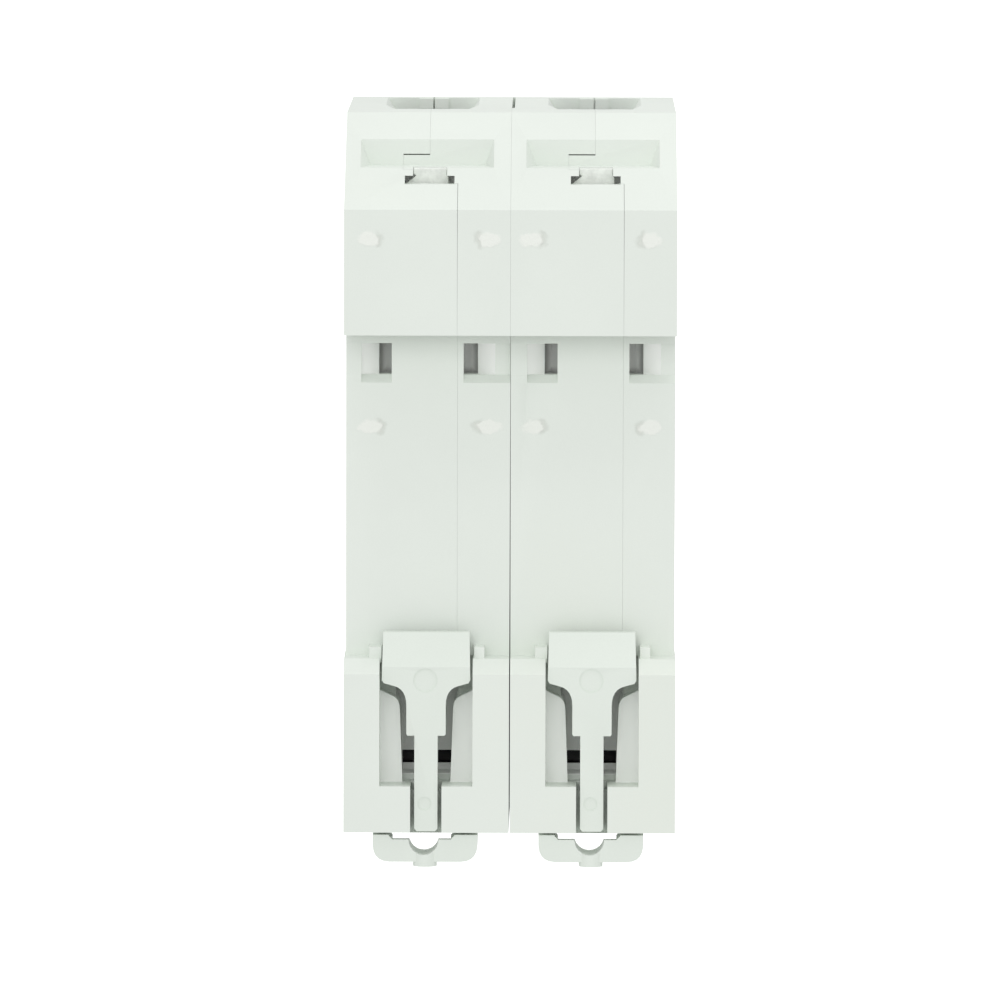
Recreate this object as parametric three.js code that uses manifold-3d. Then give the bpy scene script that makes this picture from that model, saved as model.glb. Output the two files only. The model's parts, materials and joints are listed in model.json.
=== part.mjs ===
// Two-pole miniature circuit breaker for a 35 mm DIN rail, millimetres.
// X across the poles, Y from front (-) to rear (+), Z up. The rail's flange
// lies on Y = 0 and its centreline is at Z = 0.
import * as THREE from 'three';
import { mergeVertices } from 'three/addons/utils/BufferGeometryUtils.js';
import { ConvexGeometry } from 'three/addons/geometries/ConvexGeometry.js';
import Module from 'manifold-3d';

const wasm = await Module();
wasm.setup();

// ---- driving dimensions ----
const MODULE = 18;              // width of one pole
const GAP = 0.3;                // clearance between separate pieces
const POLE_GAP = 0.025;         // each pole's inner side to the middle plane
const SEAM_GAP = 0.03;          // each shell to the seam
const WALL = 1.5;               // side wall of the housing
const MID = MODULE / 2;         // middle of a pole
const TOP = 39.5;
const BOTTOM = -37.9;
const REAR = 5.8;               // upper rear face
const LOWER_REAR = 5.4;         // lower rear block
const SHOULDER = -44;           // front of the terminal shoulders
const NOSE = -60;               // front of the nose
const NOSE_HALF = 22.5;
const HOOK_EDGE = 16.2;         // lower edge of the fixed rail hook
const LEDGE = -19.1;            // top of the lower rear block
const BEVEL_TOP = [-10.5, TOP];
const BEVEL_LOW = [REAR, 29.8];
const CLIP_X = 9.05;            // middle of the rail clip
const WINDOW_HALF = 5.05;       // clip window in the lower block

const TERMINAL_Z = [31.5, -29.5];
const TERMINAL_Y = -19;         // wire entry
const SCREW_R = 2.4;
const HEAD_R = 3.4;

const TOGGLE_AXIS = [-51.6, 0];
const TOGGLE_R = 8.6;
const TOGGLE_SWING = 70;
const CRANK_R = 4;
const ARM_AXIS = [-31, 0.5];
const ARM_SWING = 20;
const LUG = [-3, 6.5];          // link hole on the contact arm, open position
const TRIP_AXIS = [-39, 10];
const COIL_AXIS = -21;
const FLAG_AXIS = [-50, 14.5];
const RIVETS = [[-3, 24], [-40, 22.6], [-40, -22], [-4.7, -34.3]];

// ---- materials ----
const finish = (color, roughness, metalness = 0) => ({ color, roughness, metalness });
const SHELL = finish(0xe6eae4, 0.55);
const CLIP = finish(0xe4e9e3, 0.5);
const DARK = finish(0x2b2d30, 0.5);
const LINK = finish(0x8d9297, 0.35, 1);
const STEEL = finish(0xb4b8bc, 0.32, 1);
const ZINC = finish(0xc9ccd0, 0.3, 1);
const COPPER = finish(0xc27a4a, 0.35, 1);
const BRASS = finish(0xc9a552, 0.34, 1);
const ENAMEL = finish(0x9a4a22, 0.4, 0.6);
const FIBRE = finish(0xc9c2ae, 0.8);
const INSERT = finish(0xcad0c9, 0.7);
const BROWN = finish(0x5b3a26, 0.55);
const GREEN = finish(0x2f9a4a, 0.45);

// ---- solids ----
function solid(geometry) {
  const bare = new THREE.BufferGeometry();
  bare.setAttribute('position', geometry.getAttribute('position'));
  if (geometry.index) bare.setIndex(geometry.index);
  const merged = mergeVertices(bare, 1e-5);
  const mesh = new wasm.Mesh({
    numProp: 3,
    vertProperties: new Float32Array(merged.attributes.position.array),
    triVerts: new Uint32Array(merged.index.array),
  });
  return new wasm.Manifold(mesh);
}

const join = (first, ...rest) => rest.reduce((a, b) => a.add(b), first);
const cut = (first, ...rest) => rest.reduce((a, b) => a.subtract(b), first);

function block([x0, y0, z0], [x1, y1, z1]) {
  const box = new THREE.BoxGeometry(x1 - x0, y1 - y0, z1 - z0);
  box.translate((x0 + x1) / 2, (y0 + y1) / 2, (z0 + z1) / 2);
  return solid(box);
}

function extrude(points, depth, basis, offset) {
  const shape = new THREE.Shape(points.map(([a, b]) => new THREE.Vector2(a, b)));
  const body = new THREE.ExtrudeGeometry(shape, { depth, bevelEnabled: false });
  body.applyMatrix4(basis);
  body.translate(...offset);
  return solid(body);
}

const axis = (x, y, z) => new THREE.Vector3(x, y, z);
const SIDE = new THREE.Matrix4().makeBasis(axis(0, 1, 0), axis(0, 0, 1), axis(1, 0, 0));
const BACK = new THREE.Matrix4().makeBasis(axis(1, 0, 0), axis(0, 0, 1), axis(0, -1, 0));

// outline in (Y, Z), thick along X
const side = (points, x0, x1) => extrude(points, x1 - x0, SIDE, [x0, 0, 0]);
// outline in (X, Z), thick along Y
const back = (points, y0, y1) => extrude(points, y1 - y0, BACK, [0, y1, 0]);

const TURN = { x: [0, 0, -Math.PI / 2], y: [0, 0, 0], z: [Math.PI / 2, 0, 0] };

// profile of [radius, position] turned about a line along X, Y or Z
function turned(profile, along, at, segments = 20) {
  const points = profile.map(([r, t]) => new THREE.Vector2(r, t));
  const body = new THREE.LatheGeometry(points, segments);
  body.applyMatrix4(new THREE.Matrix4().makeRotationFromEuler(new THREE.Euler(...TURN[along])));
  body.translate(...at);
  return solid(body);
}

const rod = (along, r, from, to, at, segments = 20) =>
  turned([[0, from], [r, from], [r, to], [0, to]], along, at, segments);

// round pin along X at a (Y, Z) point
const pin = (r, x0, x1, [y, z], segments = 16) => rod('x', r, x0, x1, [0, y, z], segments);

function wire(points, r, steps, sides = 6, straight = false) {
  const track = points.map((p) => axis(...p));
  const curve = new THREE.CatmullRomCurve3(track, false, 'catmullrom', straight ? 0.01 : 0.5);
  const ring = [];
  for (let i = 0; i < sides; i += 1) {
    const t = (2 * Math.PI * i) / sides;
    ring.push(new THREE.Vector2(r * Math.cos(t), r * Math.sin(t)));
  }
  const body = new THREE.ExtrudeGeometry(new THREE.Shape(ring), { steps, extrudePath: curve });
  return solid(body);
}

const RAD = Math.PI / 180;

// turn a (Y, Z) vector about +X
const spun = ([y, z], deg) => [
  y * Math.cos(deg * RAD) - z * Math.sin(deg * RAD),
  y * Math.sin(deg * RAD) + z * Math.cos(deg * RAD),
];
const plus = ([a, b], [c, d]) => [a + c, b + d];
const minus = ([a, b], [c, d]) => [a - c, b - d];

// turn a solid about the X line through a (Y, Z) point
const swung = (body, [y, z], deg) =>
  body.translate([0, -y, -z]).rotate([deg, 0, 0]).translate([0, y, z]);

// upright prism over an (X, Y) outline
function turnedUp(points, z0, z1) {
  const order = THREE.ShapeUtils.isClockWise(points.map(([x, y]) => new THREE.Vector2(x, y)));
  const ring = order ? [...points].reverse() : points;
  return extrude(ring, z1 - z0, new THREE.Matrix4(), [0, 0, z0]);
}

function arc([y, z], r, from, to, count) {
  const points = [];
  for (let i = 0; i <= count; i += 1) {
    const t = (from + ((to - from) * i) / count) * RAD;
    points.push([y + r * Math.cos(t), z + r * Math.sin(t)]);
  }
  return points;
}

// ---- assembly ----
const breaker = new THREE.Group();
breaker.name = 'circuit_breaker';

function node(name, body, look) {
  const mesh = body.getMesh();
  const geometry = new THREE.BufferGeometry();
  geometry.setAttribute('position', new THREE.BufferAttribute(new Float32Array(mesh.vertProperties), 3));
  geometry.setIndex(Array.from(mesh.triVerts));
  geometry.computeVertexNormals();
  const item = new THREE.Mesh(geometry, new THREE.MeshStandardMaterial(look));
  item.name = name;
  breaker.add(item);
}

// ---- housing ----
const OUTLINE = [
  BEVEL_TOP, BEVEL_LOW, [REAR, HOOK_EDGE], [1.6, HOOK_EDGE], [1.6, 17.6], [0, 17.6],
  [0, LEDGE], [3.6, LEDGE], [LOWER_REAR, -20.65], [LOWER_REAR, BOTTOM], [SHOULDER, BOTTOM],
  [SHOULDER, -NOSE_HALF], [NOSE + 1, -NOSE_HALF], [NOSE, -NOSE_HALF + 1],
  [NOSE, NOSE_HALF - 1], [NOSE + 1, NOSE_HALF], [SHOULDER, NOSE_HALF], [SHOULDER, TOP],
];
const CHAMBER = [
  [-58.3, -20.5], [-9.5, -20.5], [-9.5, -17.6], [-1.6, -17.6], [-1.6, 7], [-9.5, 7],
  [-9.5, 20.8], [-58.3, 20.8],
];

// line where the two half shells of a pole meet, seen from behind; s picks the shell
function seam(s) {
  const g = SEAM_GAP * s;
  return [
    [8.85 + g, 45], [8.85 + g, 35.13 + g], [11.75 + g, 35.13 + g], [11.75 + g, 33.8 - g],
    [8 + g, 33.8 - g], [8 + g, 32.4 - g], [5.75 + g, 32.4 - g], [5.75 + g, -17.5 + g],
    [MID + g, -17.5 + g], [MID + g, -45],
  ];
}

function railSide(shell) {
  // hollows beside the hook: a shallow channel out to the side, a stepped window in it
  const channel = (deep) => [[-deep, 14.95], [-deep, 11.5], [0, 10.65], [1, 10.65], [1, 14.95]];
  let body = cut(
    shell, side(channel(0.8), -1, 5.1), side(channel(0.8), 12.9, 16.2), side(channel(0.2), 16.1, 19),
  );
  // each window: a floor that ramps up towards the pole's side, and a deeper part beside it
  for (const [near, step, far] of [[5.1, 3.56, 1.65], [12.9, 14.3, 16.2]]) {
    const ramp = turnedUp([[near, 1], [near, -2], [step, -2], [far, -0.85], [far, 1]], 11.5, 14.95);
    const deep = turnedUp(
      [[near, 1], [near, -4.6], [(near + step) / 2, -5], [step, -4.6], [step, 1]], 11.5, 14.95,
    );
    body = cut(body, ramp, deep);
  }
  return body;
}

function busbarPocket(shell) {
  // pocket in the bevel: upright floor, side walls that lean in towards its foot
  const floor = -5.93;
  const corners = [];
  for (const [wide, foot] of [[1.86, 2.87], [16.35, 15.35]]) {
    corners.push(
      [wide, floor, 36.78], [foot, floor, 33.95], [wide, -1.17, 33.95], [wide, 8, 33.95],
      [wide, 8, 36.78],
    );
  }
  const pocket = solid(new ConvexGeometry(corners.map((c) => axis(...c))));
  // T-shaped window under it, and the hidden seat of the insert
  const stem = block([6.94, -3, 32.9], [10.63, 4, 34]);
  const bar = block([6.12, -3, 32.3], [11.52, 4, 33.16]);
  const seat = block([6.4, -3, 30.9], [11.52, -0.3, 32.4]);
  return cut(shell, pocket, stem, bar, seat);
}

// both sides of an outline that is symmetric about the clip's middle line
function mirrored(half) {
  const right = half.map(([x, z]) => [CLIP_X + x, z]);
  const left = half.map(([x, z]) => [CLIP_X - x, z]).reverse();
  return [...right, ...left];
}

function curve(p0, p1, p2, count) {
  const points = [];
  for (let i = 0; i <= count; i += 1) {
    const t = i / count;
    const a = (1 - t) ** 2;
    const b = 2 * t * (1 - t);
    points.push([a * p0[0] + b * p1[0] + t * t * p2[0], a * p0[1] + b * p1[1] + t * t * p2[1]]);
  }
  return points;
}

function clipChannel(shell) {
  // rounded cheeks leave a narrow deep channel behind the clip's neck
  const cheek = [
    [WINDOW_HALF + 0.3, -22.65], ...curve([3.6, -23.5], [2.95, -23.8], [2.9, -24.8], 4),
    [2.6, -33.2], [WINDOW_HALF + 0.3, -33.2],
  ];
  const window = block([CLIP_X - WINDOW_HALF, -1.5, -32.85], [CLIP_X + WINDOW_HALF, 8, LEDGE + 0.01]);
  const deep = block([CLIP_X - 3.4, -5.6, -32.2], [CLIP_X + 3.4, 0, -21.6]);
  const cheeks = join(
    back(cheek.map(([x, z]) => [CLIP_X + x, z]).reverse(), -8, 1),
    back(cheek.map(([x, z]) => [CLIP_X - x, z]), -8, 1),
  );
  const slot = block([CLIP_X - 1.7, 0, -40], [CLIP_X + 1.7, 8, -32]);
  const guide = block([3.1, -0.3, -40], [15.15, 1.5, -33.3]);
  const slide = block([CLIP_X - 1.7, -0.3, -34], [CLIP_X + 1.7, 1, -31]);
  const pocket = block([CLIP_X - 2.7, -8, -31.5], [CLIP_X + 2.7, -5, -30.1]);
  const ears = join(
    block([13.92, -0.5, LEDGE - 0.5], [15.25, 3, -17.9]),
    block([2.75, -0.5, LEDGE - 0.5], [3.85, 3, -17.9]),
  );
  return cut(shell, cut(join(window, deep), cheeks), slot, guide, slide, pocket).add(ears);
}

const MOUTH_X = 8.85;
const MOUTH_SLOPE = 0.85;

// outline of the line mouth in (X, Y), its side walls moved in by a step
function mouthOutline(step) {
  const [near, far] = [4.15 - step, 5.15 - step];
  return [
    [MOUTH_X - near, -17.6], [MOUTH_X + near, -17.6], [MOUTH_X + far, -26], [MOUTH_X + far, -41.2],
    [MOUTH_X - far, -41.2], [MOUTH_X - far, -26],
  ];
}

function terminals(shell) {
  const [zTop, zLow] = TERMINAL_Z;
  const inner = WALL + 0.15;
  // long mouth for a conductor behind and a busbar fork in front of the clamp: its sides slope in,
  // and a rib of each shell stands at its front, with a slit between the two
  const rim = mouthOutline(0).map(([x, y]) => axis(x, y, TOP + 0.01));
  const throat = mouthOutline(MOUTH_SLOPE).map(([x, y]) => axis(x, y, TOP - 1.3));
  const entry = join(
    solid(new ConvexGeometry([...rim, ...throat])),
    turnedUp(mouthOutline(MOUTH_SLOPE), 36.5, TOP - 1.2),
    turnedUp(mouthOutline(0), TOP, TOP + 1),
  );
  const ribs = block([MOUTH_X - 1.63, -41.3, TOP - 1.15], [MOUTH_X + 1.63, -40.2, TOP - 0.05]);
  const slit = block([MOUTH_X - 0.09, -42.8, 36.6], [MOUTH_X + 0.09, -40, TOP + 1]);
  const funnel = [[0, -3], [5.2, -3], [5.2, -1.9], [4.2, 0], [4.2, 3], [0, 3]];
  return cut(
    shell,
    block([inner, -42.2, 24.5], [MODULE - inner, -11, 37.7]),
    block([inner, -42.2, -36], [MODULE - inner, -8.5, -23.5]),
    cut(entry, ribs),
    slit,
    turned(funnel, 'z', [MID, TERMINAL_Y, -35.8], 24),
    rod('y', 3.2, -46, -41, [MID, 0, zTop], 24),
    rod('y', 3.2, -46, -41, [MID, 0, zLow], 24),
    block([5, -25, 19], [13, -22.8, 26]),
    block([5, -25, -25], [13, -22.8, -19]),
  );
}

function front(shell) {
  // slot for the toggle and the window of the contact flag
  return cut(
    shell,
    block([3.5, -62, -9], [14.5, -57, 9]),
    block([6.8, -62, 12.6], [11.2, -57, 16]),
  );
}

function bearings(shell) {
  let body = shell;
  for (const [[y, z], r] of [[TOGGLE_AXIS, 1.6], [ARM_AXIS, 1.2], [FLAG_AXIS, 1]]) {
    body = cut(body, pin(r + GAP, 0.75, MODULE - 0.75, [y, z]));
  }
  return cut(body, pin(1.5 + GAP, -1, MODULE + 1, TRIP_AXIS));
}

function housing(x0, x1) {
  let body = side(OUTLINE, x0, x1);
  body = cut(body, side(CHAMBER, WALL + 0.15, MODULE - WALL - 0.15));
  body = terminals(body);
  for (const at of RIVETS) body = body.add(pin(2.6, x0, x1, at));
  body = body.add(block([10, -43, -20.6], [x1 - 0.5, -40, -12]));
  body = cut(body, rod('y', 1.5, -44, -39, [12.5, 0, -15.5], 16));
  body = clipChannel(busbarPocket(railSide(front(bearings(body)))));
  for (const at of RIVETS) {
    body = cut(body, pin(1.5 + GAP, -1, 19, at));
  }
  return body;
}

function halves(outer) {
  let whole = outer > 0 ? housing(POLE_GAP, MODULE) : housing(0, MODULE - POLE_GAP);
  for (const at of RIVETS) {
    const sink = outer > 0 ? pin(2.9, MODULE - 1.35, 20, at) : pin(2.9, -2, 1.35, at);
    whole = cut(whole, sink);
  }
  // the poles stand a little apart beside the line mouths
  if (outer < 0) whole = cut(whole, block([MODULE - 0.3, -43, 36.6], [19, -20, 41]));
  // and the outer sides stand back a little beside the rail
  const beside = outer > 0 ? [MODULE - 0.14, MODULE + 1] : [-1, 0.14];
  whole = cut(whole, block([beside[0], -9, LEDGE], [beside[1], 1, HOOK_EDGE]));
  const base = back([...seam(1), [25, -45], [25, 45]], -70, 20);
  const cover = back([...seam(-1), [-5, -45], [-5, 45]], -70, 20);
  return [whole.intersect(base), whole.intersect(cover)];
}

// ---- rail clip ----
function railClip() {
  const outline = mirrored([
    [0, -16.3], [4.68, -16.3], [4.8, -21.3], [4.6, -21.65],
    ...curve([3.5, -21.95], [2.13, -22.3], [2.13, -24.1], 6), [2.13, -27.2], [2, -27.37], [1.26, -27.37],
    [1.26, -37.5], [1, -37.8],
  ]);
  const plate = back(outline.reverse(), 1.3, 4.8);
  const ramp = side([[4.8, -19.9], [2.6, -16.3], [2.6, -14], [7, -14], [7, -19.9]], 0, 18);
  // behind the stem: a thin web, the cross piece that runs in the guide, its skirt and two arms
  const web = block([CLIP_X - 1.26, 0.1, -36.6], [CLIP_X + 1.26, 2, -27.37]);
  const cross = join(
    block([3.5, 0.1, -36.6], [14.75, 1.2, -33.7]),
    block([5.9, 0.1, -38.4], [13.15, 1.2, -36]),
  );
  const arms = join(
    block([3.5, 0.1, -39.2], [5.95, 1.2, -36]),
    block([13.08, 0.1, -39.2], [14.75, 1.2, -36]),
  );
  const half = [[5.7, -38.2], [5.7, -39.4], ...curve([5.7, -39.4], [5.6, -41.1], [3.9, -41.15], 5)];
  const tab = back(
    [
      ...half.map(([x, z]) => [9.13 + x, z]), ...half.map(([x, z]) => [9.13 - x, z]).reverse(),
    ].reverse(),
    0.1, 4.8,
  );
  // finger hole of the tab, its floor falling away to the front
  const grip = join(
    back(
      [[5.95, -37.6], [5.95, -38.3], [6.35, -38.7], [12.7, -38.7], [13.08, -38.3], [13.08, -37.6]],
      -1, 6,
    ),
    side([[4.8, -38.7], [-1, -39.25], [-1, -38.6], [4.8, -38.6]], 6.35, 12.7),
    rod('y', 1.62, -1, 6, [9.3, 0, -38.75], 24),
  );
  const ridge = rod('z', 1.3, -41.65, -39.2, [9.15, 3.95, 0], 20);
  const marks = join(
    rod('y', 1.3, 4.66, 6, [9.13, 0, -21.35], 24),
    rod('y', 0.75, 4.66, 6, [9.2, 0, -34.8], 16),
  );
  return join(cut(plate, ramp), web, cross, arms, cut(join(tab, ridge), grip)).subtract(marks);
}

// ---- toggle, link and contact arm ----
const LUG_OPEN = plus(ARM_AXIS, LUG);
const LUG_CLOSED = plus(ARM_AXIS, spun(LUG, ARM_SWING));

// crank point that keeps the link the same length at both ends of the swing
function crankPoint() {
  const open = minus(LUG_OPEN, TOGGLE_AXIS);
  const closed = spun(minus(LUG_CLOSED, TOGGLE_AXIS), TOGGLE_SWING);
  const d = minus(open, closed);
  const k = (open[0] ** 2 + open[1] ** 2 - closed[0] ** 2 - closed[1] ** 2) / 2;
  const swing = Math.acos(k / (CRANK_R * Math.hypot(...d)));
  const a = Math.atan2(d[1], d[0]) + swing;
  const b = Math.atan2(d[1], d[0]) - swing;
  const pick = Math.cos(a) > Math.cos(b) ? a : b;
  return plus(TOGGLE_AXIS, [CRANK_R * Math.cos(pick), CRANK_R * Math.sin(pick)]);
}
const CRANK = crankPoint();

function toggle() {
  const [y, z] = TOGGLE_AXIS;
  const drum = pin(TOGGLE_R, 3.9, 14.1, TOGGLE_AXIS, 40);
  const lever = side(
    [[y, z + 2.4], [y - 14, z + 1.7], [y - 16.6, z + 1.5], [y - 17.4, z + 0.7], [y - 17.4, z - 0.7],
      [y - 16.6, z - 1.5], [y - 14, z - 1.7], [y, z - 2.4]],
    4.2, 13.8,
  );
  const level = join(drum, lever);
  const lowered = swung(level, TOGGLE_AXIS, TOGGLE_SWING / 2);
  const relief = block([3, y - 3.5, z - 0.8], [7.3, y + 10, z + 10]);
  const springSeat = block([3, y - 3.5, z - 3.5], [7.3, y + 10, z + 10]);
  const shaft = pin(1.6, 0.9, 17.1, TOGGLE_AXIS);
  return join(cut(lowered, relief, springSeat), shaft).subtract(pin(0.9, 6, 10.6, CRANK, 12));
}

function driveLink() {
  const along = minus(LUG_OPEN, CRANK);
  const rodX = 6;
  const start = [rodX, ...CRANK];
  const end = [rodX, ...LUG_OPEN];
  const middle = [rodX, CRANK[0] + along[0] / 2, CRANK[1] + along[1] / 2];
  return join(
    wire([start, middle, end], 0.6, 4, 8, true),
    pin(0.6, 5.4, 9.9, CRANK, 8),
    pin(0.6, 5.4, 10.2, LUG_OPEN, 8),
  );
}

function contactArm() {
  const [y, z] = ARM_AXIS;
  const blade = [
    [y + 1, z + 1.7], [-19.9, -6.2], [-19.9, -9.4], [-21.9, -9.4], [y - 1.4, z - 1.8],
  ];
  const lugCentre = plus(plus(ARM_AXIS, spun(LUG, ARM_SWING)), [0.44, 0]);
  const lugBar = [
    [y - 2.2, z - 0.5], [y + 1.8, z + 1], [lugCentre[0] + 2.4, lugCentre[1] + 1.2],
    [lugCentre[0] - 2.3, lugCentre[1] - 1.2],
  ];
  const closed = join(
    side(blade, 7.4, 10.6),
    side(lugBar, 7.4, 10.6),
    pin(2.6, 7.4, 10.6, ARM_AXIS),
    pin(2.8, 7.4, 10.6, lugCentre),
    block([7.4, -20.2, -9], [10.6, -18.5, -6.2]),
  ).subtract(pin(1.6, 6, 12, lugCentre));
  return swung(closed, ARM_AXIS, -ARM_SWING).add(pin(1.2, 0.9, 17.1, ARM_AXIS));
}

// hand is the side the coil winds to: 1 or -1
function torsionSpring(at, r, x0, x1, turns, legs, hand) {
  const points = [];
  const steps = turns * 10;
  const [first, last] = legs;
  points.push([x0, at[0] + first[0], at[1] + first[1]]);
  for (let i = 0; i <= steps; i += 1) {
    const t = (2 * Math.PI * i) / 10;
    points.push([x0 + ((x1 - x0) * i) / steps, at[0] + r * Math.cos(t), at[1] + hand * r * Math.sin(t)]);
  }
  points.push([x1, at[0] + last[0], at[1] + last[1]]);
  return wire(points, 0.32, steps + 6, 5);
}

// ---- tripping ----
function tripLever() {
  const [y, z] = TRIP_AXIS;
  const beam = [
    [y, z + 2.4], [-29.5, 8.7], [-22.8, 3.4], [-19.8, 1.2], [-19.8, -0.7], [-22.2, -0.7],
    [-24.8, 1.2], [-30, 6.2], [y, z - 1.4],
  ];
  const leg = [[y - 2.2, z], [y + 0.6, z - 2], [-39.6, -3], [-41, -3]];
  return join(
    side(beam, 12.6, 14),
    side(leg, 12.6, 14),
    pin(2.9, 11.4, 15.4, TRIP_AXIS, 20),
    block([8, -22.2, -0.7], [13, -19.8, 0.3]),
  ).subtract(pin(1.5 + GAP, 10, 17, TRIP_AXIS, 16));
}

function coil() {
  const turns = 5;
  const perTurn = 10;
  const points = [[7, -18.4, 1.9], [3.6, -18.4, 2.3], [3, -19.6, 4.6]];
  for (let i = 0; i <= turns * perTurn; i += 1) {
    const t = Math.PI - (2 * Math.PI * i) / perTurn + 0.2;
    const rise = 6.4 + (8.2 * i) / (turns * perTurn);
    points.push([MID + 4.3 * Math.cos(t), COIL_AXIS + 4.3 * Math.sin(t), rise]);
  }
  points.push([4.6, -25, 15.6], [6.4, -26.8, 17.4], [8.6, -25.9, 19.2], [8.8, -25.8, 20]);
  return wire(points, 0.75, 68, 6);
}

function bobbin() {
  return turned(
    [[2.5, 5], [3.9, 5], [3.9, 5.5], [3.2, 5.5], [3.2, 16], [5, 16], [5, 16.6], [2.5, 16.6], [2.5, 5]],
    'z', [MID, COIL_AXIS, 0], 20,
  );
}

function magnetCore() {
  return turned([[1, 3.2], [2.2, 3.2], [2.2, 7], [1, 7], [1, 3.2]], 'z', [MID, COIL_AXIS, 0], 16);
}

function plunger() {
  return turned(
    [[0, 2.6], [0.7, 2.6], [0.7, 9.3], [2.2, 9.3], [2.2, 17.5], [1.8, 17.9], [0, 17.9]],
    'z', [MID, COIL_AXIS, 0], 16,
  );
}

function yoke() {
  const c = [
    [-25, 3.5], [-13.6, 3.5], [-13.6, 18.1], [-25, 18.1], [-25, 16.9], [-14.8, 16.9],
    [-14.8, 4.7], [-25, 4.7],
  ];
  return cut(
    side(c, 5.6, 12.2),
    rod('z', 2.5, 16, 19, [MID, COIL_AXIS, 0], 16),
    rod('z', 2.5, 3, 5, [MID, COIL_AXIS, 0], 16),
  );
}

function fixedContact() {
  return join(
    block([6.2, -17.2, -9.6], [11.8, -16, 2.8]),
    block([7.2, -18.2, -9], [10.8, -17, -6.2]),
  );
}

function arcChute() {
  const plates = [];
  for (let i = 0; i < 9; i += 1) {
    const z = -15.6 + i * 1.95;
    const notch = extrude(
      [[7.2, -16], [10.8, -16], [9.4, -9.5], [8.6, -9.5]], 2,
      new THREE.Matrix4(), [0, 0, z - 0.5],
    );
    const plate = block([3.2, -15, z], [14.8, -2.6, z + 0.8]);
    plates.push(i === 0 ? plate : cut(plate, notch));
  }
  // the lowest plate runs on towards the contacts and draws the arc in
  const runner = side(
    [[-24, -14.2], [-21.5, -15.6], [-14, -15.6], [-14, -14.8], [-21.4, -14.8], [-23.8, -13.4]],
    6, 12,
  );
  return join(
    block([2.6, -14.6, -16.2], [3.4, -2.9, 1.2]),
    block([14.6, -14.6, -16.2], [15.4, -2.9, 1.2]),
    runner,
    ...plates,
  );
}

function bimetal() {
  return join(
    block([11, -37.5, -18.4], [14, -36.8, 1.5]),
    block([11, -37.5, -18.4], [14, -35.6, -17.2]),
  );
}

function calibrationScrew() {
  return cut(
    turned([[0, -43.8], [1.9, -43.8], [1.9, -43.2], [1.2, -43.2], [1.2, -38.4], [0, -38.4]], 'y',
      [12.5, 0, -15.5], 14),
    block([12.2, -45, -18], [12.8, -43.5, -13]),
  );
}

function braid() {
  return wire([[12.1, -35.6, -4.5], [12.2, -34, -8], [12.1, -31, -9], [12, -29, -6.5], [11.9, -28.5, -3]],
    0.9, 14, 7);
}

// ---- terminals ----
function cage(z) {
  return cut(
    block([4, -30, z - 3.75], [14, -13, z + 3.75]),
    block([5.2, -27, z - 5], [12.8, -14.5, z + 5]),
    rod('y', SCREW_R + GAP, -31, -26, [MID, 0, z], 20),
  );
}

function terminalScrew(z) {
  const body = turned(
    [[0, -39.6], [HEAD_R - 0.3, -39.6], [HEAD_R, -39.2], [HEAD_R, -36.4], [SCREW_R, -36.4],
      [SCREW_R, -25.3], [SCREW_R - 0.5, -24.8], [0, -24.8]],
    'y', [MID, 0, z], 24,
  );
  const cross = join(
    block([MID - 0.5, -41, z - 2.6], [MID + 0.5, -38.2, z + 2.6]),
    block([MID - 2.6, -41, z - 0.5], [MID + 2.6, -38.2, z + 0.5]),
  );
  return cut(body, cross);
}

function linePlate() {
  return block([5.6, -24.5, 18.5], [12.4, -23.3, 35.8]);
}

function loadPlate() {
  return join(
    block([5.6, -24.5, -34.6], [12.4, -23.3, -18.7]),
    block([5.6, -36.6, -19.9], [12.4, -23.3, -18.7]),
    block([11, -38, -19.9], [14, -35, -18.7]),
  );
}

// ---- contact flag ----
function statusFlag() {
  const rest = -12;
  const outer = arc(FLAG_AXIS, 7.4, 180 - 22, 180 + 22, 8);
  const inner = arc(FLAG_AXIS, 6.5, 180 + 22, 180 - 22, 8);
  const [y, z] = FLAG_AXIS;
  const level = join(
    side([...outer, ...inner], 7.2, 10.8),
    side([[y, z - 0.9], [y, z + 0.9], [y - 6.9, z + 0.9], [y - 6.9, z - 0.9]], 8, 10),
    pin(1.7, 8, 10, FLAG_AXIS),
    pin(1, 0.9, 17.1, FLAG_AXIS, 12),
  );
  return swung(level, FLAG_AXIS, -rest);
}

function entryInsert() {
  return back(
    [[6.78, 31.2], [6.78, 33.05], [6.98, 33.1], [6.98, 33.88], [10.59, 33.88], [10.59, 33.25],
      [10.3, 33.1], [11.44, 32.2], [11.44, 31.2]],
    -2.7, -1.15,
  );
}

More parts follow.
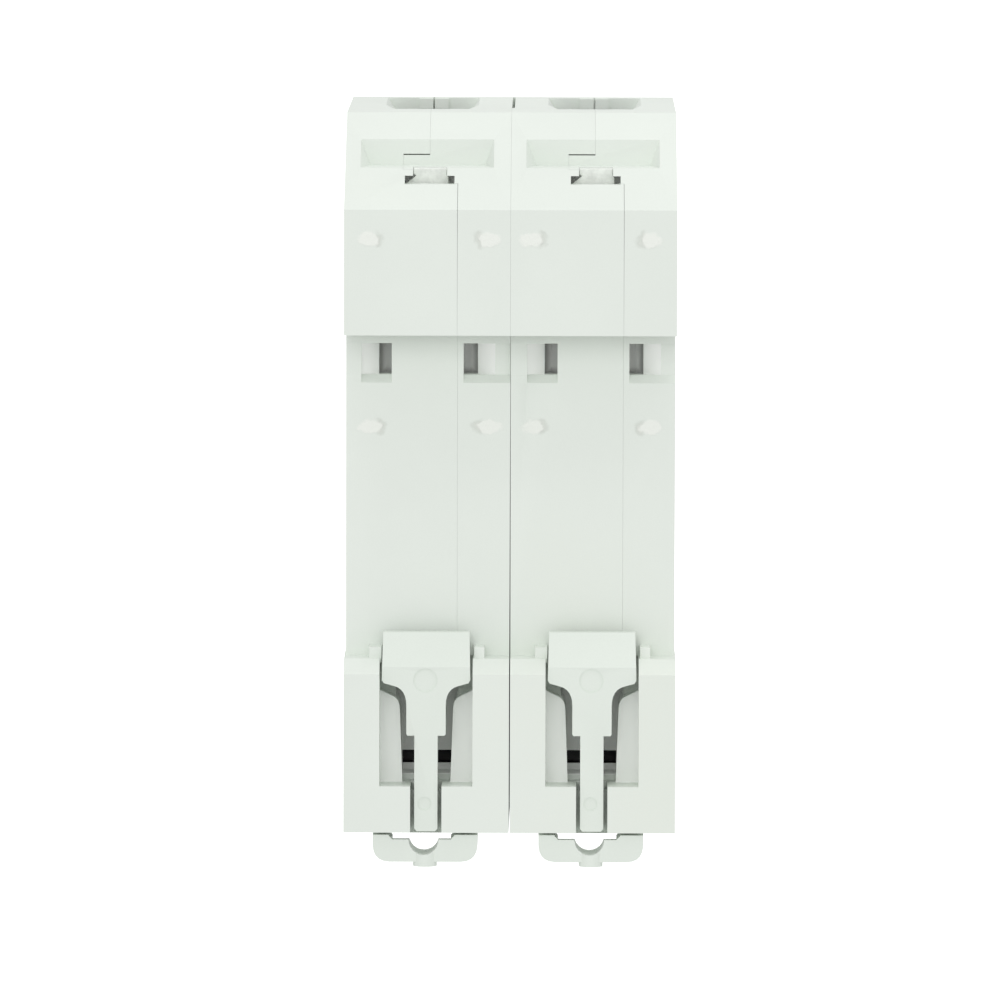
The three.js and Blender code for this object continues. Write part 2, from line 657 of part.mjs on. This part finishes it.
// ---- both poles ----
function pole(n, dx) {
  const outer = n === 1 ? 1 : -1;
  const add = (name, body, look) => node(`${name}_${n}`, body.translate([dx, 0, 0]), look);
  const [base, cover] = halves(outer);
  const [zTop, zLow] = TERMINAL_Z;
  add('housing_base', base, SHELL);
  add('housing_cover', cover, SHELL);
  add('rail_clip', railClip(), CLIP);
  add('toggle', toggle(), DARK);
  add('toggle_spring', torsionSpring(TOGGLE_AXIS, 2.35, 2.4, 4.8, 3, [[2.2, -3], [1.4, 3]], 1), LINK);
  add('drive_link', driveLink(), LINK);
  add('contact_arm', contactArm(), BRASS);
  add('contact_spring', torsionSpring(ARM_AXIS, 1.95, 2.6, 5, 3, [[2, 3], [1.5, -4]], -1), LINK);
  add('trip_lever', tripLever(), BROWN);
  add('coil', coil(), ENAMEL);
  add('bobbin', bobbin(), DARK);
  add('magnet_core', magnetCore(), STEEL);
  add('plunger', plunger(), STEEL);
  add('magnet_yoke', yoke(), ZINC);
  add('fixed_contact', fixedContact(), COPPER);
  add('arc_chute', arcChute(), FIBRE);
  add('bimetal', bimetal(), STEEL);
  add('calibration_screw', calibrationScrew(), BRASS);
  add('braid', braid(), COPPER);
  add('line_cage', cage(zTop), ZINC);
  add('line_screw', terminalScrew(zTop), ZINC);
  add('line_plate', linePlate(), COPPER);
  add('load_cage', cage(zLow), ZINC);
  add('load_screw', terminalScrew(zLow), ZINC);
  add('load_plate', loadPlate(), COPPER);
  add('contact_flag', statusFlag(), GREEN);
  add('entry_insert', entryInsert(), INSERT);
}

pole(1, 0);
pole(2, -MODULE);

// ---- pieces shared by the poles ----
function handleTie() {
  const [y, z] = TOGGLE_AXIS;
  const reach = 17.4;
  const channel = side(
    [[y - reach - 1.6, z - 2.6], [y - reach - 1.6, z + 2.6], [y - 12.6, z + 3.3], [y - 12.6, z + 2.1],
      [y - reach + 0.4, z + 1.9], [y - reach - 0.4, z + 1.1], [y - reach - 0.4, z - 1.1],
      [y - reach + 0.4, z - 1.9], [y - 12.6, z - 2.1], [y - 12.6, z - 3.3]],
    4.2 - MODULE, 13.8,
  );
  return swung(channel, TOGGLE_AXIS, TOGGLE_SWING / 2);
}

function rivet(at) {
  return turned(
    [[0, -17.85], [2.1, -17.85], [2.6, -17.35], [2.6, -16.95], [1.5, -16.95], [1.5, 16.95],
      [2.6, 16.95], [2.6, 17.35], [2.1, 17.85], [0, 17.85]],
    'x', [0, ...at], 18,
  );
}

node('handle_tie', handleTie(), DARK);
node('trip_shaft', pin(1.5, -17.1, 17.1, TRIP_AXIS, 16), STEEL);
RIVETS.forEach((at, i) => node(`rivet_${i + 1}`, rivet(at), ZINC));

export default breaker;
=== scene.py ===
import json
import math

import bmesh
import bpy
from mathutils import Matrix, Vector


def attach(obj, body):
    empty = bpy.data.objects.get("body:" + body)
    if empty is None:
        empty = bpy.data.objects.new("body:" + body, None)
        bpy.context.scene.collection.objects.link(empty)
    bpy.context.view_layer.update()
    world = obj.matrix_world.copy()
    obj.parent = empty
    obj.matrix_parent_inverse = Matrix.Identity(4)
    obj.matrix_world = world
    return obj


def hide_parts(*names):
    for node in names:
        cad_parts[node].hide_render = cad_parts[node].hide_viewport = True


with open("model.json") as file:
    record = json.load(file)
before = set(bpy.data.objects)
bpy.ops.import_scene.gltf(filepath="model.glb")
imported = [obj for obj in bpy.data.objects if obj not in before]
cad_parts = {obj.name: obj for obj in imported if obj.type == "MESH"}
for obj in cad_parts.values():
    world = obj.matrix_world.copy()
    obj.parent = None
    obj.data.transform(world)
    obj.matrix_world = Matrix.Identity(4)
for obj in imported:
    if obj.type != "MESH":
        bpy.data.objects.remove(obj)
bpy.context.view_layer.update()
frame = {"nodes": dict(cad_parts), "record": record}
NODES = frame["nodes"]
BODY_OF = {
    node: body
    for body, members in frame["record"]["behaviour"]["bodies"].items()
    for node in members
}
SLOT_OF = {part["node"]: part["material_slot"] for part in frame["record"]["subparts"]}
MM = 0.001
MODULE = 18.0               # width of one pole, mm


# ---- node graphs ----
def srgb(r, g, b):
    """Linear colour of 0-255 display values."""
    def linear(v):
        v /= 255
        return v / 12.92 if v <= 0.04045 else ((v + 0.055) / 1.055) ** 2.4
    return (linear(r), linear(g), linear(b), 1.0)


def scaled(colour, k):
    return tuple(min(1.0, c * k) for c in colour[:3]) + (1.0,)


class Graph:
    """A Principled material and short calls that add nodes to it."""

    def __init__(self, name, roughness, metallic=0.0, specular=0.5):
        self.material = bpy.data.materials.new(name)
        self.material.use_nodes = True
        self.tree = self.material.node_tree
        self.shader = next(n for n in self.tree.nodes if n.type == "BSDF_PRINCIPLED")
        self.shader.inputs["Roughness"].default_value = roughness
        self.shader.inputs["Metallic"].default_value = metallic
        self.shader.inputs["Specular IOR Level"].default_value = specular
        self.coords = self.add("ShaderNodeTexCoord").outputs["Object"]

    def add(self, kind, inputs=None, **settings):
        node = self.tree.nodes.new(kind)
        for key, value in settings.items():
            setattr(node, key, value)
        for key, value in (inputs or {}).items():
            self.feed(node.inputs[key], value)
        return node

    def feed(self, socket, value):
        if isinstance(value, bpy.types.NodeSocket):
            self.tree.links.new(value, socket)
        else:
            socket.default_value = value

    def math(self, operation, *values):
        node = self.add("ShaderNodeMath", operation=operation)
        for socket, value in zip(node.inputs, values):
            self.feed(socket, value)
        return node.outputs[0]

    def noise(self, scale, detail, stretch=(1, 1, 1)):
        place = self.add("ShaderNodeMapping", {"Vector": self.coords, "Scale": stretch})
        settings = {"Vector": place.outputs[0], "Scale": scale, "Detail": detail, "Roughness": 0.55}
        return self.add("ShaderNodeTexNoise", settings).outputs[0]

    def remap(self, value, low, high, to_low=0.0, to_high=1.0, smooth=False):
        ends = {"From Min": low, "From Max": high, "To Min": to_low, "To Max": to_high}
        node = self.add("ShaderNodeMapRange", {"Value": value, **ends})
        if smooth:
            node.interpolation_type = "SMOOTHSTEP"
        return node.outputs[0]

    def mix(self, factor, a, b):
        node = self.add("ShaderNodeMix", data_type="RGBA")
        self.feed(node.inputs[0], factor)
        self.feed(node.inputs[6], a)
        self.feed(node.inputs[7], b)
        return node.outputs[2]

    def stain(self, base, mask, strength, colour):
        """Lays a colour over the base where the mask is."""
        return self.mix(self.math("MULTIPLY", mask, strength), base, colour)

    def colour(self, value):
        self.feed(self.shader.inputs["Base Color"], value)

    def rough(self, value):
        self.feed(self.shader.inputs["Roughness"], value)

    def bump(self, layers):
        """Stacks (height, distance in mm, strength) layers."""
        normal = None
        for height, distance, strength in layers:
            inputs = {"Height": height, "Distance": distance * MM, "Strength": strength}
            node = self.add("ShaderNodeBump", inputs)
            if normal:
                self.feed(node.inputs["Normal"], normal)
            normal = node.outputs[0]
        self.feed(self.shader.inputs["Normal"], normal)


# noise scales per metre
TONE_SCALE = 55
GLOSS_SCALE = 900
RIPPLE_SCALE = 1400
GRAIN_SCALE = 5200
# shares of a noise's range that are stretched over the whole range
MIDDLE = (0.35, 0.65)
WIDE = (0.3, 0.7)


def moulded(name, colour, roughness, tone=0.02, grain=0.25, tone_scale=TONE_SCALE):
    """Moulded plastic: drifting tone, fine eroded grain, uneven gloss."""
    g = Graph(name, roughness, specular=0.45)
    drift = g.remap(g.noise(tone_scale, 3), *MIDDLE)
    fine = g.noise(GRAIN_SCALE, 2)
    base = g.mix(drift, scaled(colour, 1 - tone), scaled(colour, 1 + tone))
    g.colour(g.mix(g.remap(fine, *WIDE, 0, 0.12), base, scaled(colour, 0.86)))
    g.rough(g.remap(g.noise(GLOSS_SCALE, 3), *WIDE, roughness - 0.06, roughness + 0.07))
    g.bump([(fine, 0.02, grain), (g.noise(RIPPLE_SCALE, 3), 0.03, grain * 0.5)])
    return g.material


def metal(name, colour, roughness, stretch=(1, 1, 1)):
    """Drawn or plated metal: streaks across the stretched axis, faint stains."""
    g = Graph(name, roughness, metallic=1.0)
    streak = g.noise(GLOSS_SCALE, 4, stretch)
    spots = g.remap(g.noise(130, 4), 0.5, 0.8, 0, 0.35)
    base = g.mix(g.remap(streak, *WIDE), scaled(colour, 0.94), scaled(colour, 1.06))
    g.colour(g.mix(spots, base, scaled(colour, 0.72)))
    g.rough(g.remap(streak, *WIDE, roughness - 0.07, roughness + 0.09))
    g.bump([(streak, 0.02, 0.35)])
    return g.material


# ---- shell material ----
SHELL = srgb(230, 236, 229)
PAINTED_LIGHT_WHITE = srgb(249, 251, 248)
YELLOWED = srgb(226, 231, 216)
WHITENED = srgb(248, 249, 243)
TORN = srgb(150, 152, 138)
DARK_SPECK = srgb(112, 100, 88)
PALE_SPECK = srgb(150, 148, 138)
UNLIT = srgb(26, 26, 25)
CORNER_SHADE = srgb(70, 70, 66)

# the eight gate marks lie alike about the lines x = 8.8 and z = 16.2, mm
MARK_FOLD = (8.8, 16.2)
MARK_AT = (6.4, 10.36)
MARK_HALF = (1.3, 0.8)
REAR_FACES = -0.5           # the marks are on faces behind this Y, mm

# boxes (X, Y, Z) in mm within a pole; first the recessed inner faces, painted near white as painted
# light that lifts their shade
LIGHTENED_RECESSES = (
    ((5.6, 12.5), (-5.72, -0.1), (-32.3, -21.0)),       # channel behind the clip's neck
    ((6.0, 11.7), (-3.1, -1.2), (32.25, 33.9)),         # T-shaped window
    ((4.0, 6.7), (0.5, 1.1), (-33.3, -22.6)),           # cheeks beside the clip
    ((11.4, 14.1), (0.5, 1.1), (-33.3, -22.6)),
    ((1.6, 3.6), (-2.3, -0.81), (11.4, 15.0)),          # ramps beside the hook
    ((14.25, 16.3), (-2.3, -0.81), (11.4, 15.0)),
)
# deep parts of the windows beside the hook, also painted light, with painted shade towards their
# corners
WINDOWS = (
    ((3.5, 5.15), (-5.2, -2.2), (11.3, 15.1)),
    ((12.85, 14.35), (-5.2, -2.2), (11.3, 15.1)),
)
# the load terminal's cell and the blind pocket behind the clip, painted near black as shade
LOAD_CELL = ((1.5, 16.5), (-42.3, -5.75), (-36.1, -22.5))
# where the shade in the deep windows starts and where it is full, mm
CORNER_FADES = ((4.25, 3.6), (13.5, 14.25))
FOOT_FADE = (12.2, 11.5)
FOOT_SHARE = 0.8


def millimetres(g):
    """The place on the object, as separate x, y and z in mm."""
    place = g.add("ShaderNodeSeparateXYZ", {"Vector": g.coords})
    return [g.math("MULTIPLY", axis, 1000) for axis in place.outputs]


def gate_marks(g, x, y, z):
    """Masks of the oval tear marks on the rear faces: whitened patch, and torn inner edge."""
    u = g.math("ABSOLUTE", g.math("SUBTRACT", g.math("ABSOLUTE", x), MARK_FOLD[0]))
    w = g.math("ABSOLUTE", g.math("SUBTRACT", z, MARK_FOLD[1]))
    du = g.math("DIVIDE", g.math("SUBTRACT", u, MARK_AT[0]), MARK_HALF[0])
    dw = g.math("DIVIDE", g.math("SUBTRACT", w, MARK_AT[1]), MARK_HALF[1])
    ragged = g.math("MULTIPLY", g.math("SUBTRACT", g.noise(750, 3), 0.5), 1.5)
    # 1 on the oval, roughened by noise
    reach = g.math("SQRT", g.math("ADD", g.math("POWER", du, 2), g.math("POWER", dw, 2)))
    reach = g.math("ADD", reach, ragged)
    rear = g.math("GREATER_THAN", y, REAR_FACES)
    patch = g.math("MULTIPLY", g.remap(reach, 1.15, 0.75, smooth=True), rear)
    outer = g.remap(reach, 1.5, 1.05, smooth=True)
    ring = g.math("MULTIPLY", outer, g.remap(reach, 0.7, 1.0, smooth=True))
    inner = g.remap(du, -0.35, -0.8, smooth=True)
    tear = g.math("MULTIPLY", g.math("MULTIPLY", ring, inner), rear)
    return patch, tear


def within(g, value, low, high):
    """1 between two places, 0 beyond them."""
    middle, half = (low + high) / 2, (high - low) / 2
    return g.math("LESS_THAN", g.math("ABSOLUTE", g.math("SUBTRACT", value, middle)), half)


def box_mask(g, place, box):
    """1 inside a box, 0 outside it."""
    masks = [within(g, value, *ends) for value, ends in zip(place, box)]
    return g.math("MULTIPLY", g.math("MULTIPLY", masks[0], masks[1]), masks[2])


def window_corners(g, place):
    """Mask of painted shade that grows towards the inner corner and the foot of each deep window."""
    x, _, z = place
    corners = g.math("MAXIMUM", *(g.remap(x, *ends, smooth=True) for ends in CORNER_FADES))
    foot = g.math("MULTIPLY", g.remap(z, *FOOT_FADE, smooth=True), FOOT_SHARE)
    shade = g.math("MAXIMUM", corners, foot)
    deep = g.math("MAXIMUM", *(box_mask(g, place, box) for box in WINDOWS))
    return g.math("MULTIPLY", shade, deep)


def specks(g, scale, size, share):
    """Sparse dark inclusions, one per cell in a share of the cells."""
    cells = g.add("ShaderNodeTexVoronoi", {"Vector": g.coords, "Scale": scale})
    chosen = g.add("ShaderNodeSeparateColor", {"Color": cells.outputs["Color"]}).outputs[0]
    dot = g.remap(cells.outputs["Distance"], size, size * 0.5, smooth=True)
    return g.math("MULTIPLY", dot, g.math("LESS_THAN", chosen, share))


def shell():
    """The housing's plastic, with its gate marks and inclusions; painted light lifts the recessed
    insides and painted black shade fills the load cell.
    """
    g = Graph("shell_plastic", 0.5, specular=0.42)
    x, y, z = millimetres(g)
    place = (g.math("WRAP", x, MODULE, 0.0), y, z)
    patch, tear = gate_marks(g, x, y, z)
    drift = g.remap(g.noise(45, 4), *MIDDLE, smooth=True)
    fine = g.noise(GRAIN_SCALE, 2)
    base = g.mix(drift, scaled(SHELL, 0.985), scaled(SHELL, 1.01))
    base = g.mix(g.remap(g.noise(21, 3), 0.55, 0.75, 0, 0.22), base, YELLOWED)
    base = g.mix(g.remap(fine, *WIDE, 0, 0.1), base, scaled(SHELL, 0.87))
    base = g.stain(base, patch, 0.5, WHITENED)
    base = g.stain(base, tear, 0.2, TORN)
    base = g.stain(base, specks(g, 95, size=0.016, share=0.22), 0.7, DARK_SPECK)
    base = g.stain(base, specks(g, 210, size=0.022, share=0.12), 0.45, PALE_SPECK)
    # painted shade: the load cell and the pocket behind the clip are painted near black
    base = g.mix(box_mask(g, place, LOAD_CELL), base, UNLIT)
    # painted light: the recessed faces are painted near white to lift the shade they lie in
    for box in LIGHTENED_RECESSES + WINDOWS:
        base = g.mix(box_mask(g, place, box), base, PAINTED_LIGHT_WHITE)
    g.colour(g.stain(base, window_corners(g, place), 0.5, CORNER_SHADE))
    gloss = g.remap(g.noise(GLOSS_SCALE, 3), *WIDE, 0.44, 0.56)
    g.rough(g.math("ADD", gloss, g.math("MULTIPLY", patch, 0.2)))
    flake = g.math("MULTIPLY", patch, g.noise(2600, 4))
    g.bump([
        (fine, 0.02, 0.3),
        (g.noise(RIPPLE_SCALE, 3), 0.03, 0.15),
        (flake, 0.1, 0.7),
        (tear, -0.08, 0.5),
    ])
    return g.material


MATERIALS = {
    "shell": shell(),
    "clip": moulded("clip_plastic", srgb(227, 234, 226), 0.38, grain=0.2),
    "insert": moulded("insert_plastic", srgb(236, 240, 234), 0.6, tone=0.09, grain=1, tone_scale=1300),
    "dark_plastic": moulded("dark_plastic", srgb(52, 54, 57), 0.42, tone=0.12),
    "brown_plastic": moulded("phenolic", srgb(112, 74, 48), 0.45, tone=0.1),
    "green_plastic": moulded("flag_plastic", srgb(60, 158, 86), 0.4, tone=0.05),
    "fibre": moulded("vulcanised_fibre", srgb(197, 190, 170), 0.7, tone=0.08, grain=0.6),
    "spring_steel": metal("spring_steel", srgb(176, 180, 184), 0.3, (1, 8, 1)),
    "steel": metal("machined_steel", srgb(186, 189, 190), 0.32, (1, 1, 9)),
    "zinc_steel": metal("zinc_plate", srgb(204, 208, 210), 0.34, (1, 5, 1)),
    "copper": metal("copper_strip", srgb(206, 138, 98), 0.32, (1, 1, 7)),
    "contact_brass": metal("stamped_brass", srgb(212, 182, 112), 0.3, (1, 7, 1)),
    "brass": metal("turned_brass", srgb(214, 184, 112), 0.26, (7, 1, 1)),
    "enamelled_copper": metal("enamelled_wire", srgb(160, 84, 44), 0.28),
}

# ---- pieces ----
WIRES = ("coil", "toggle_spring", "contact_spring", "braid")
EDGE = {"shell": 0.2, "clip": 0.22, "dark_plastic": 0.35}       # edge radius by slot, mm
PLAIN_EDGE = 0.12
SHARP = math.radians(30.4)  # flatter edges are part of a round face
FLAT = math.radians(0.4)
SEAM_EDGE = 0.3             # share of the edge radius along a seam
SAME_POINT = 0.002          # corners closer than this are one, mm

# parting faces of the two shells of a pole and of the two poles, mm
SEAM_X = (8.85, 11.75, 8.0, 5.75, 9.0)
SEAM_Z = (35.13, 33.8, 32.4, -17.5)
JOG_Z = SEAM_Z[0]
BEVEL_SEAM_X = SEAM_X[3]
BEVEL_FOOT = 29.5           # the bevel is above this height
HOOK = 16.0                 # the rail recess is between these heights
LEDGE = -19.0
# from the middle of a gap to each face, mm: as packed, and then as drawn
SEAM_GAP = 0.03
POLE_GAP = 0.025
HAIRLINE = 0.006
OPEN_JOG = 0.065
OPEN_BEVEL = 0.018
RECESS_POLES = 0.018
OPEN_POLES = 0.055
ON_FACE = 0.004


def near(value, target):
    return abs(value - target) < ON_FACE


def pole_gap(z):
    """The drawn half gap between the two poles at a height."""
    if z > HOOK:
        return HAIRLINE
    return RECESS_POLES if z > LEDGE else OPEN_POLES


def close_seams(b, pole_x):
    """Sets each parting gap to the width it shows; returns the vertices on the faces."""
    on_seam = set()
    for v in b.verts:
        x, y, z = (c / MM for c in v.co)
        for side in (1, -1):
            for at in SEAM_X:
                if near(x - pole_x, at + side * SEAM_GAP):
                    gap = OPEN_BEVEL if at == BEVEL_SEAM_X and z > BEVEL_FOOT else HAIRLINE
                    v.co.x = (at + pole_x + side * gap) * MM
                    on_seam.add(v)
            for at in SEAM_Z:
                if near(z, at + side * SEAM_GAP):
                    gap = OPEN_JOG if at == JOG_Z else HAIRLINE
                    v.co.z = (at + side * gap) * MM
                    on_seam.add(v)
        if near(abs(x), POLE_GAP):
            v.co.x = math.copysign(pole_gap(z), x) * MM
            on_seam.add(v)
    return on_seam


def cleaned(node):
    """The node's mesh with shared corners and without the lines inside flat faces."""
    mesh = bpy.data.meshes.new(node + "_form")
    b = bmesh.new()
    b.from_mesh(NODES[node].data)
    bmesh.ops.remove_doubles(b, verts=b.verts, dist=SAME_POINT * MM)
    on_seam = set()
    if node.startswith("housing"):
        on_seam = close_seams(b, 0 if node.endswith("1") else -MODULE)
    weight = b.edges.layers.float.new("bevel_weight_edge")
    for edge in b.edges:
        edge[weight] = SEAM_EDGE if all(v in on_seam for v in edge.verts) else 1.0
    bmesh.ops.dissolve_limit(b, angle_limit=FLAT, verts=b.verts, edges=b.edges)
    for edge in b.edges:
        if edge.is_manifold and edge.calc_face_angle() < SHARP:
            edge[weight] = 0.0
    for face in b.faces:
        face.smooth = True
    b.to_mesh(mesh)
    b.free()
    mesh.set_sharp_from_angle(angle=SHARP)
    return mesh


def fine_piece(node):
    """A finer copy of a node in the same place: rounded wires, softened edges."""
    piece = bpy.data.objects.new(node + "_fine", cleaned(node))
    bpy.context.scene.collection.objects.link(piece)
    slot = SLOT_OF[node]
    if node.startswith(WIRES):
        piece.modifiers.new("round_wire", "SUBSURF").levels = 1
        piece.modifiers["round_wire"].render_levels = 1
    else:
        edge = piece.modifiers.new("edge", "BEVEL")
        edge.width = EDGE.get(slot, PLAIN_EDGE) * MM
        edge.segments = 2
        edge.limit_method = "WEIGHT"
        edge.harden_normals = True
        edge.miter_outer = "MITER_ARC"
    piece.data.materials.append(MATERIALS[slot])
    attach(piece, BODY_OF[node])
    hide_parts(node)


for name in NODES:
    fine_piece(name)

# ---- floor ----
FLOOR_Z = -47.5 * MM        # below the pulled rail clips
FLOOR_HALF = 6.0            # half the side of the square, m


def floor():
    mesh = bpy.data.meshes.new("floor")
    signs = [(-1, -1), (1, -1), (1, 1), (-1, 1)]
    corners = [(x * FLOOR_HALF, y * FLOOR_HALF, FLOOR_Z) for x, y in signs]
    mesh.from_pydata(corners, [], [(0, 1, 2, 3)])
    obj = bpy.data.objects.new("floor", mesh)
    bpy.context.scene.collection.objects.link(obj)
    material = bpy.data.materials.new("floor_white")
    material.use_nodes = True
    shader = next(n for n in material.node_tree.nodes if n.type == "BSDF_PRINCIPLED")
    shader.inputs["Base Color"].default_value = (0.8, 0.8, 0.8, 1)
    shader.inputs["Roughness"].default_value = 0.9
    shader.inputs["Emission Color"].default_value = (1, 1, 1, 1)
    shader.inputs["Emission Strength"].default_value = 0.75
    mesh.materials.append(material)
    obj.visible_diffuse = False
    obj.visible_glossy = False


# ---- light ----
WORLD_STRENGTH = 0.8
# name, place and diameter in m, power in W
LAMPS = (
    ("front_soft", (0.15, 1.55, 0.5), 0.9, 4.4),
    ("top_soft", (-0.1, 0.1, 1.0), 0.7, 1.9),
)


def area_light(name, place, size, power):
    """A round lamp that faces the origin."""
    data = bpy.data.lights.new(name, "AREA")
    data.shape = "DISK"
    data.size = size
    data.energy = power
    obj = bpy.data.objects.new(name, data)
    obj.location = place
    obj.rotation_mode = "QUATERNION"
    obj.rotation_quaternion = (-Vector(place)).to_track_quat("-Z", "Y")
    bpy.context.scene.collection.objects.link(obj)


def studio():
    for lamp in LAMPS:
        area_light(*lamp)
    world = bpy.data.worlds.new("studio")
    world.use_nodes = True
    world.node_tree.nodes["Background"].inputs["Color"].default_value = (1, 1, 1, 1)
    world.node_tree.nodes["Background"].inputs["Strength"].default_value = WORLD_STRENGTH
    bpy.context.scene.world = world


# ---- camera ----
CAMERA_DISTANCE = 1.1
CAMERA_PITCH = math.radians(5.1)
CAMERA_ROLL = math.radians(0.15)
SIDE_STEP = -0.0047         # tangent of the camera's angle off the middle
PIXELS_PER_MM = 9.25        # at the rear face, in an image 1000 wide
IMAGE_WIDTH = 1000
SENSOR = 36
AIM = Vector((0, 5.8 * MM, 0))
SHIFT = (-0.010, -0.0146)


def camera():
    data = bpy.data.cameras.new("camera")
    data.sensor_width = SENSOR
    data.lens = SENSOR * PIXELS_PER_MM * CAMERA_DISTANCE / MM / IMAGE_WIDTH
    data.shift_x, data.shift_y = SHIFT
    data.clip_start = 0.05
    data.clip_end = 50
    obj = bpy.data.objects.new("camera", data)
    bpy.context.scene.collection.objects.link(obj)
    back = Vector((SIDE_STEP, math.cos(CAMERA_PITCH), math.sin(CAMERA_PITCH))).normalized()
    right = Vector((0, 0, 1)).cross(back).normalized()
    turn = Matrix((right, back.cross(right), back)).transposed().to_4x4()
    roll = Matrix.Rotation(CAMERA_ROLL, 4, "Z")
    obj.matrix_world = Matrix.Translation(AIM + back * CAMERA_DISTANCE) @ turn @ roll
    bpy.context.scene.camera = obj


floor()
studio()
camera()
bpy.context.scene.view_settings.view_transform = "Standard"
